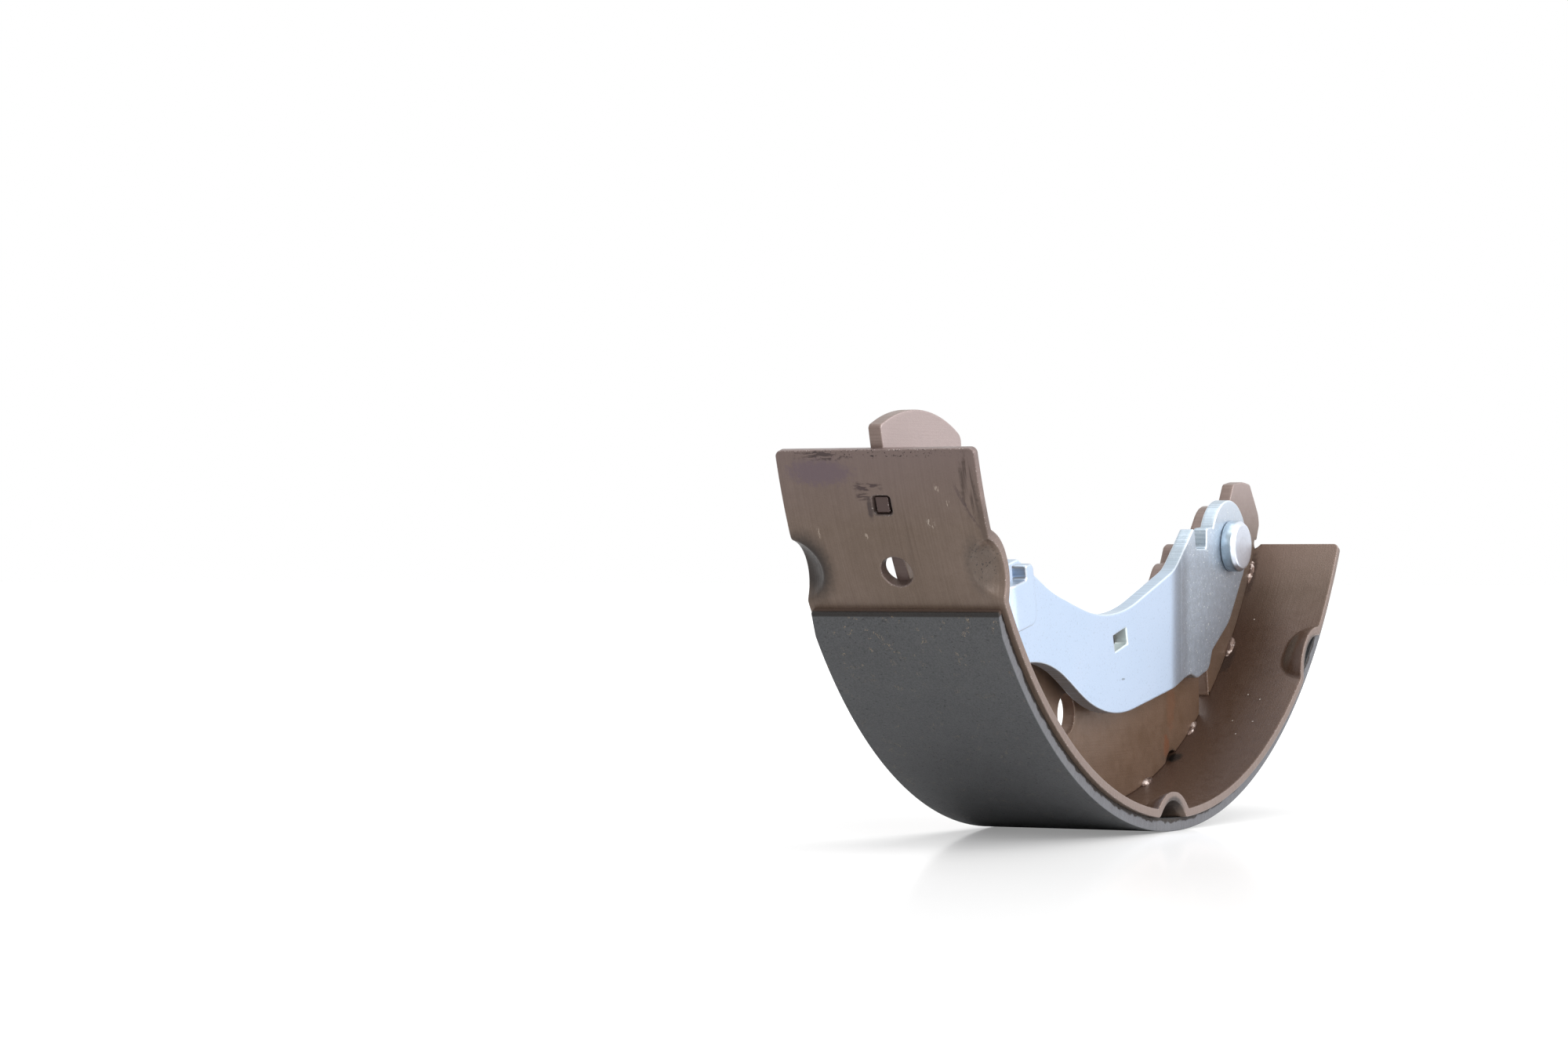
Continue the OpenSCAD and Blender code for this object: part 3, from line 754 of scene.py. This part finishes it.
def web_marks(tree, place, sheet, cut):
    """Painted light on the open tips, painted shade low down, in the relief notch and in the holes;
    rust beside the weld.
    """
    z = add(tree, "ShaderNodeSeparateXYZ", {0: place}).outputs[2]
    high, low = (
        add(tree, "ShaderNodeMapRange", {"Value": z, "From Min": a, "From Max": b}).outputs[0]
        for a, b in ((70.0, 90.0), (60.0, 30.0)))
    face = add(tree, "ShaderNodeMath", {0: 1.0, 1: cut}, operation="SUBTRACT").outputs[0]
    stain_and_shade = pattern(tree, place, 6.0, 0.4, 0.7, 4.0)
    # painted shade: warmer, darker brown low in the bowl; painted light: paler faces on the open
    # tips
    layers = [(times(tree, low, 0.55), "#7a5a42"), (times(tree, low, stain_and_shade, 0.35), "#5b4128"),
              (times(tree, high, face, 0.75), "#bba9a8")]
    # each spot: middle, reach, raggedness, share, colour
    for centre, reach, ragged, share, code in (
            ((53.2, -WEB_HALF, 30.0), (3.5, 2, 9.0), 1.2, 0.25, "#8a5230"),
            ((50.3, -WEB_HALF, 18.5), (2.2, 2, 4.0), 1.2, 0.45, "#8a4a26"),
            # painted shade: black in the relief notch beside the weld, and dark in the platform's
            # holes
            ((53.8, 0.0, 15.0), (5.5, 3, 4.5), 0.2, 0.95, "#120e0c"),
            ((-109.3, 0.0, 79.9), (7, 5, 7), 0.0, 1.0, "#4f3e3a"),
            ((-99.2, 0.0, 66.3), (9, 5, 9), 0.0, times(tree, cut, 0.75), "#493835")):
        layers.append((times(tree, mark(tree, place, centre, reach, ragged), share), code))
    return layers


def moulded_lining():
    """Friction lining moulded from resin, fibre, graphite and brass swarf, its outside ground.

    Flat dark grey with a dusty grain, small black pits, and curled flecks of brass that lie
    thickest near the ground end; both ends are nearly black.
    """
    made, tree = new_material("moulded_friction_lining")
    place, sheet = in_mm(tree)
    cut, rim, _ = edge_shares(tree)
    cloud = pattern(tree, place, 14, 0.3, 0.7)
    dust = pattern(tree, place, 0.4, 0.3, 0.7, 2.0)
    mid = pattern(tree, place, 1.6, 0.35, 0.65)
    along, _, depth = add(tree, "ShaderNodeSeparateXYZ", {0: sheet}).outputs
    # a fleck is a short piece of a curled line, a quarter of a millimetre wide
    curl = add(tree, "ShaderNodeTexNoise",
               {"Vector": sheet, "Scale": 0.8, "Detail": 1.0, "Distortion": 2.0})
    line = add(tree, "ShaderNodeMath", {0: curl.outputs[0], 1: 0.5, 2: 0.018},
               operation="COMPARE").outputs[0]
    few = pattern(tree, sheet, 1.3, 0.60, 0.63, 0.0)
    thick = pattern(tree, sheet, 4.0, 0.50, 0.62, 1.0)
    near_end = add(tree, "ShaderNodeMapRange", {"Value": along, "From Min": -104.0,
                                                "From Max": -119.0, "To Min": 0.2}).outputs[0]
    pits = pattern(tree, sheet, 0.6, 0.62, 0.70, 3.0, stretch=(0.8, 1.3, 1))
    # a dark band along the platform with a torn border, and lacquer on the near end's half beside
    # it
    torn = pattern(tree, sheet, 3.0, 0.3, 0.7, 5.0)
    border = add(tree, "ShaderNodeMath", {0: torn, 1: 0.7, 2: depth},
                 operation="MULTIPLY_ADD").outputs[0]
    end, far_end, dark_joint_band, lacquered = (
        add(tree, "ShaderNodeMapRange", {"Value": value, "From Min": a, "From Max": b}).outputs[0]
        for value, a, b in ((along, -120.7, -121.1), (along, 132.9, 133.3), (border, 1.45, 1.1),
                            (depth, 2.9, 1.3)))
    # side faces: ground pale with lines across the thickness
    side_lines = pattern(tree, sheet, 0.4, 0.35, 0.65, 3.0, stretch=(1, 1, 30))
    colour = coats(tree, linear("#3f4042"), [
        (times(tree, cloud, 0.5), "#4b4c4e"), (times(tree, mid, 0.3), "#494b4e"),
        (times(tree, dust, 0.55), "#626365"), (times(tree, pits, 0.6), "#242325"),
        (times(tree, line, few, near_end, thick, 0.9), "#bfa580"),
        (times(tree, cut, 0.75), "#747479"), (times(tree, cut, side_lines, 0.2), "#8c8d93"),
        (times(tree, rim, 0.5), "#77797d"), (times(tree, cut, dark_joint_band), "#241b17"),
        (times(tree, end, 0.95), "#1c1714"), (times(tree, far_end, 0.9), "#241d1a"),
        (times(tree, end, lacquered, 0.9), "#5e4c42")])
    roughness = add(tree, "ShaderNodeMapRange",
                    {"Value": dust, "To Min": 0.55, "To Max": 0.75}).outputs[0]
    height = add(tree, "ShaderNodeMath", {0: pits, 1: -1.2, 2: dust},
                 operation="MULTIPLY_ADD").outputs[0]
    finish(tree, colour, roughness, height, 0.03, IOR=1.5)
    return made


def zinc_plating():
    """Bright zinc plating with a clear blue passivate on a pressed lever.

    Pale blue and nearly even on the arm; past the crank it is painted darker for its dimmer
    reflection, mottled grey with white grains and painted lighter at the top; the cut edges show
    bright and dark shear lines across the thickness; the rims carry painted highlights.
    """
    made, tree = new_material("blue_zinc_plating")
    place, sheet = in_mm(tree)
    cut, rim, run = edge_shares(tree)
    x, _, z = add(tree, "ShaderNodeSeparateXYZ", {0: place}).outputs
    cloud = pattern(tree, place, 18, 0.3, 0.7)
    mottle = pattern(tree, place, 1.8, 0.35, 0.65, 5.0)
    dots = pattern(tree, place, 0.6, 0.62, 0.70, 1.0)
    white = pattern(tree, place, 0.5, 0.68, 0.72, 1.0, offset=(31, 7, 3))
    coined = pattern(tree, place, 0.6, 0.3, 0.7, 4.0, offset=(5, 9, 1))
    # the crank is a darker band, painted for the dimmer reflection of its slope, which ends in a
    # painted highlight along its second bend
    band, head, high = (
        add(tree, "ShaderNodeMapRange", {"Value": value, "From Min": a, "From Max": b}).outputs[0]
        for value, a, b in ((x, 40.0, 47.0), (x, 37.0, 50.0), (z, 66.0, 82.0)))
    before = add(tree, "ShaderNodeMath", {0: x, 1: 47.7}, operation="LESS_THAN").outputs[0]
    bend = add(tree, "ShaderNodeMath", {0: x, 1: 47.8, 2: 0.13}, operation="COMPARE").outputs[0]
    scratch = mark(tree, place, (6.95, ARM_FRONT, 37.1), (1.5, 2, 0.3), 0.9)
    scrape = mark(tree, place, (13.7, ARM_FRONT, 29.3), (2.2, 2, 0.3), 0.9)
    # the hook's own sheet lies low in its flat coordinates
    across_sheet = add(tree, "ShaderNodeSeparateXYZ", {0: sheet}).outputs[1]
    lip = add(tree, "ShaderNodeMath", {0: across_sheet, 1: 20.0},
              operation="LESS_THAN").outputs[0]
    window = mark(tree, place, (WINDOW_MID[0], -6.65, WINDOW_MID[1]), (12, 12, 8), 0.0)
    across = add(tree, "ShaderNodeCombineXYZ", {"X": run}).outputs[0]
    shear = pattern(tree, across, 0.55, 0.35, 0.65, 4.0)
    colour = coats(tree, linear("#cfe0f8"), [
        (times(tree, cloud, 0.4), "#c9ddf6"), (times(tree, dots, 0.18), "#8fa0b4"),
        # painted reflection: the head past the crank is painted darker and mottled, lighter at its
        # top
        (times(tree, head, 0.6), "#a8acb2"), (times(tree, head, mottle, 0.25), "#8a9097"),
        (times(tree, head, coined, 0.3), "#8d9298"), (times(tree, head, high, 0.75), "#dfe9f5"),
        (times(tree, band, before, 0.4), "#8e99a6"), (times(tree, bend, 0.6), "#e8f0f7"),
        (times(tree, head, white, 0.8), "#f4f8fa"), (times(tree, white, 0.15), "#f6fbff"),
        (times(tree, scratch, 0.8), "#8c98a8"), (times(tree, scrape, 0.7), "#7f8c9b"),
        (times(tree, cut, 0.4), "#b9c9d3"), (times(tree, cut, shear, 0.55), "#8799a3"),
        # painted highlight on the rims, painted shade along the hook lip's edge, painted light in
        # window
        (times(tree, rim, 0.6), "#f2f8fc"), (times(tree, rim, lip, 0.7), "#aeb0bc"),
        (times(tree, window, cut, 0.85), "#eef6f4")])
    roughness = add(tree, "ShaderNodeMapRange", {"Value": times(tree, head, coined),
                                                 "To Min": 0.35, "To Max": 0.42}).outputs[0]
    height = add(tree, "ShaderNodeMath", {0: coined, 1: 0.3, 2: times(tree, cut, shear)},
                 operation="MULTIPLY_ADD").outputs[0]
    finish(tree, colour, roughness, height, 0.025, Metallic=0.85)
    return made


def turned_zinc():
    """Zinc plating on a turned pin.

    Fine rings run on the face and round the side; the side is painted darker grey-blue as shade,
    and the chamfer between them is brightest.
    """
    made, tree = new_material("zinc_on_turned_steel")
    place, ring = in_mm(tree)
    radius, y, _ = add(tree, "ShaderNodeSeparateXYZ", {0: ring}).outputs
    across = add(tree, "ShaderNodeCombineXYZ", {"X": radius, "Y": y}).outputs[0]
    rings = pattern(tree, across, 0.25, 0.3, 0.7, 2.0)
    mottle = pattern(tree, place, 1.4, 0.3, 0.7, 4.0)
    # painted shade: the side is darker grey-blue than the face
    side = add(tree, "ShaderNodeMapRange",
               {"Value": y, "From Min": -8.9, "From Max": -8.5}).outputs[0]
    colour = coats(tree, linear("#ecf2ff"), [
        (times(tree, mottle, 0.3), "#d6dcec"), (times(tree, side, 0.7), "#9db0b8"),
        (times(tree, side, mottle, 0.4), "#7c9098"), (times(tree, rings, 0.1), "#8d99a4")])
    height = add(tree, "ShaderNodeMath", {0: rings, 1: 0.3, 2: times(tree, mottle, 0.5)},
                 operation="MULTIPLY_ADD").outputs[0]
    finish(tree, colour, 0.3, height, 0.02, Metallic=0.95)
    return made


def weld_splash():
    """Steel melted out of a projection weld and lacquered over: dark folds, and bright ridges
    that are painted highlights.
    """
    made, tree = new_material("lacquered_weld_splash")
    place, _ = in_mm(tree)
    folds = pattern(tree, place, 1.6, 0.5, 0.62, 1.0)
    ridges = pattern(tree, place, 1.3, 0.55, 0.6, 1.0, offset=(11, 5, 2))
    # painted highlights: the bright ridges
    colour = coats(tree, linear("#725c52"), [(times(tree, folds, 0.7), "#3a2a24"),
                                             (times(tree, ridges, 0.6), "#e0cec6")])
    finish(tree, colour, 0.28, folds, 0.05, Metallic=0.4)
    return made


# Weld nuggets by Geometry Nodes: one lumpy nugget on each place along the corner

def weld_places():
    """A mesh whose points are the nuggets' places, with their turn about the axis."""
    mesh = bpy.data.meshes.new("weld_places")
    degrees = (-48.5, -32, -15.5, 0.5, 15.6, 30.8, 46.5, 58.2)
    spots = [(math.radians(a), side) for a in degrees for side in (-1, 1)]
    corners = [polar(a, PLATFORM_IN, side * WEB_HALF) for a, side in spots]
    mesh.from_pydata([[c * MM for c in corner] for corner in corners], [], [])
    mesh.attributes.new("turn", "FLOAT", "POINT").data.foreach_set("value", [-a for a, _ in spots])
    return mesh


def weld_tree(material):
    """Places a nugget on every point, turned along the arc, and gives each its own lumps."""
    tree = bpy.data.node_groups.new("weld_nuggets", "GeometryNodeTree")
    face = tree.interface
    face.new_socket("Geometry", in_out="INPUT", socket_type="NodeSocketGeometry")
    for label in ("Length", "Height", "Width", "Lump"):
        face.new_socket(label, in_out="INPUT", socket_type="NodeSocketFloat")
    face.new_socket("Seed", in_out="INPUT", socket_type="NodeSocketInt")
    face.new_socket("Geometry", in_out="OUTPUT", socket_type="NodeSocketGeometry")
    given = add(tree, "NodeGroupInput")
    ball = add(tree, "GeometryNodeMeshIcoSphere", {"Radius": 1.0, "Subdivisions": 5})
    turn = add(tree, "GeometryNodeInputNamedAttribute", {"Name": "turn"}, data_type="FLOAT")
    turned = add(tree, "ShaderNodeCombineXYZ", {"Y": turn.outputs["Attribute"]})
    full = add(tree, "ShaderNodeCombineXYZ",
               {"X": given.outputs["Length"], "Y": given.outputs["Width"],
                "Z": given.outputs["Height"]})
    half = add(tree, "ShaderNodeVectorMath", {0: full.outputs[0], "Scale": 0.5},
               operation="SCALE")
    index = add(tree, "GeometryNodeInputIndex")
    odd = add(tree, "FunctionNodeRandomValue",
              {0: (0.8, 0.85, 0.85), 1: (1.05, 1.1, 1.1), "ID": index.outputs[0],
               "Seed": given.outputs["Seed"]}, data_type="FLOAT_VECTOR")
    sized = add(tree, "ShaderNodeVectorMath", {0: half.outputs[0], 1: odd.outputs[0]},
                operation="MULTIPLY")
    placed = add(tree, "GeometryNodeInstanceOnPoints",
                 {"Points": given.outputs["Geometry"], "Instance": ball.outputs["Mesh"],
                  "Rotation": turned.outputs[0], "Scale": sized.outputs[0]})
    real = add(tree, "GeometryNodeRealizeInstances", {"Geometry": placed.outputs[0]})
    where = add(tree, "GeometryNodeInputPosition")
    lumps = add(tree, "ShaderNodeTexNoise",
                {"Vector": where.outputs[0], "Scale": 380.0, "Detail": 0.6})
    centred = add(tree, "ShaderNodeVectorMath", {0: lumps.outputs["Color"], 1: (0.5, 0.5, 0.5)},
                  operation="SUBTRACT")
    shift = add(tree, "ShaderNodeVectorMath",
                {0: centred.outputs[0], "Scale": given.outputs["Lump"]}, operation="SCALE")
    moved = add(tree, "GeometryNodeSetPosition",
                {"Geometry": real.outputs[0], "Offset": shift.outputs[0]})
    smooth = add(tree, "GeometryNodeSetShadeSmooth", {0: moved.outputs[0]})
    skinned = add(tree, "GeometryNodeSetMaterial",
                  {"Geometry": smooth.outputs[0], "Material": material})
    add(tree, "NodeGroupOutput", {"Geometry": skinned.outputs[0]})
    return tree


def show_welds(material):
    piece = bpy.data.objects.new("weld_nuggets", weld_places())
    bpy.context.scene.collection.objects.link(piece)
    nuggets = piece.modifiers.new("nuggets", "NODES")
    nuggets.node_group = weld_tree(material)
    sizes = {"Length": 7.0 * MM, "Height": 2.0 * MM, "Width": 2.6 * MM, "Lump": 1.0 * MM,
             "Seed": 7}
    for socket in nuggets.node_group.interface.items_tree:
        if socket.in_out == "INPUT" and socket.name in sizes:
            nuggets[socket.identifier] = sizes[socket.name]
    evaluated = piece.evaluated_get(bpy.context.evaluated_depsgraph_get())
    done = bpy.data.meshes.new_from_object(evaluated)
    piece.modifiers.clear()
    piece.data = done
    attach(piece, frame["nodes"]["projection_welds"]["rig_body"])
    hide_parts("projection_welds")


show("shown_platform", [platform_shell()], "platform",
     baked_lacquer("baked_lacquer_on_platform", platform_marks))
show("shown_web", [web_shell()], "web",
     baked_lacquer("baked_lacquer_on_web", web_marks))
show("shown_lining", [lining_shell()], "friction_lining", moulded_lining())
show("shown_lever", [lever_plate_shell(), hook_shell()], "parking_lever",
     zinc_plating())
show("shown_pin", [pin_shell()], "lever_pin", turned_zinc())
show_welds(weld_splash())


# Camera, fitted to the photograph's viewing angle

def make_camera():
    yaw, pitch, roll = math.radians(28.207), math.radians(-0.8738), math.radians(-0.1541)
    ahead = Vector((math.cos(yaw) * math.cos(pitch), math.sin(yaw) * math.cos(pitch),
                    -math.sin(pitch)))
    right = Vector((math.sin(yaw), -math.cos(yaw), 0.0))
    up = right.cross(ahead)
    right, up = (right * math.cos(roll) + up * math.sin(roll),
                 up * math.cos(roll) - right * math.sin(roll))
    data = bpy.data.cameras.new("camera")
    data.sensor_width = 36.0
    data.lens = 106.97
    data.shift_x = 0.02525
    data.shift_y = -0.0323
    data.clip_start, data.clip_end = 0.05, 20
    cam = bpy.data.objects.new("camera", data)
    place = Matrix((right, up, -ahead)).transposed().to_4x4()
    place.translation = Vector((-1.0585, -0.4733, 0.0712))
    cam.matrix_world = place
    bpy.context.scene.collection.objects.link(cam)
    bpy.context.scene.camera = cam


make_camera()


# Floor, backdrop and light

def stage_floor():
    """White floor that keeps the shadow near the part and a faint mirror image.

    Its glow, which only the camera sees, grows until the floor is as white as the backdrop.
    """
    bpy.ops.mesh.primitive_plane_add(size=12, location=(0, 0, 0))
    floor = bpy.context.object
    floor.name = "floor"
    made, tree = new_material("white_floor")
    place = add(tree, "ShaderNodeTexCoord").outputs["Object"]
    away = add(tree, "ShaderNodeVectorMath", {0: place}, operation="LENGTH").outputs["Value"]
    glow = add(tree, "ShaderNodeMapRange", {"Value": away, "From Min": 0.15, "From Max": 0.9,
                                            "To Min": 0.36, "To Max": 1.0}).outputs[0]
    seen = add(tree, "ShaderNodeLightPath").outputs["Is Camera Ray"]
    white = add(tree, "ShaderNodeBsdfDiffuse", {"Color": linear("#f4f4f4")})
    glowing = add(tree, "ShaderNodeEmission", {"Strength": times(tree, glow, seen)})
    both = add(tree, "ShaderNodeAddShader", {0: white.outputs[0], 1: glowing.outputs[0]})
    mirror = add(tree, "ShaderNodeBsdfGlossy", {"Color": linear("#ffffff"), "Roughness": 0.1})
    mixed = add(tree, "ShaderNodeMixShader", {0: 0.3, 1: both.outputs[0], 2: mirror.outputs[0]})
    add(tree, "ShaderNodeOutputMaterial", {"Surface": mixed.outputs[0]})
    floor.data.materials.append(made)


def set_world():
    """White to the camera, in a mirror and through clear matter, and dimmer as a light."""
    world = bpy.data.worlds.new("studio")
    bpy.context.scene.world = world
    world.use_nodes = True
    tree = world.node_tree
    tree.nodes.clear()
    rays = add(tree, "ShaderNodeLightPath").outputs
    sees = rays["Is Camera Ray"]
    for ray in ("Is Glossy Ray", "Is Transmission Ray"):
        sees = add(tree, "ShaderNodeMath", {0: sees, 1: rays[ray]},
                   operation="MAXIMUM").outputs[0]
    strength = add(tree, "ShaderNodeMapRange", {"Value": sees, "To Min": 0.35, "To Max": 1.0})
    light = add(tree, "ShaderNodeBackground",
                {"Color": linear("#ffffff"), "Strength": strength.outputs[0]})
    add(tree, "ShaderNodeOutputWorld", {"Surface": light.outputs[0]})


def softbox(name, place, size, power):
    """Square area light with its place and size in metres, aimed at the middle of the part."""
    data = bpy.data.lights.new(name, "AREA")
    data.size = size
    data.energy = power
    lamp = bpy.data.objects.new(name, data)
    lamp.location = place
    lamp.rotation_mode = "QUATERNION"
    aim = Vector((0, 0, 0.05)) - Vector(place)
    lamp.rotation_quaternion = aim.to_track_quat("-Z", "Y")
    bpy.context.scene.collection.objects.link(lamp)


stage_floor()
set_world()
softbox("top_softbox", (0.0, -0.1, 1.2), 1.2, 7)
softbox("front_fill", (-0.9, -0.9, 0.6), 0.8, 6)
softbox("side_softbox", (0.5, -1.2, 0.6), 1.0, 9)

bpy.context.scene.view_settings.view_transform = "Standard"
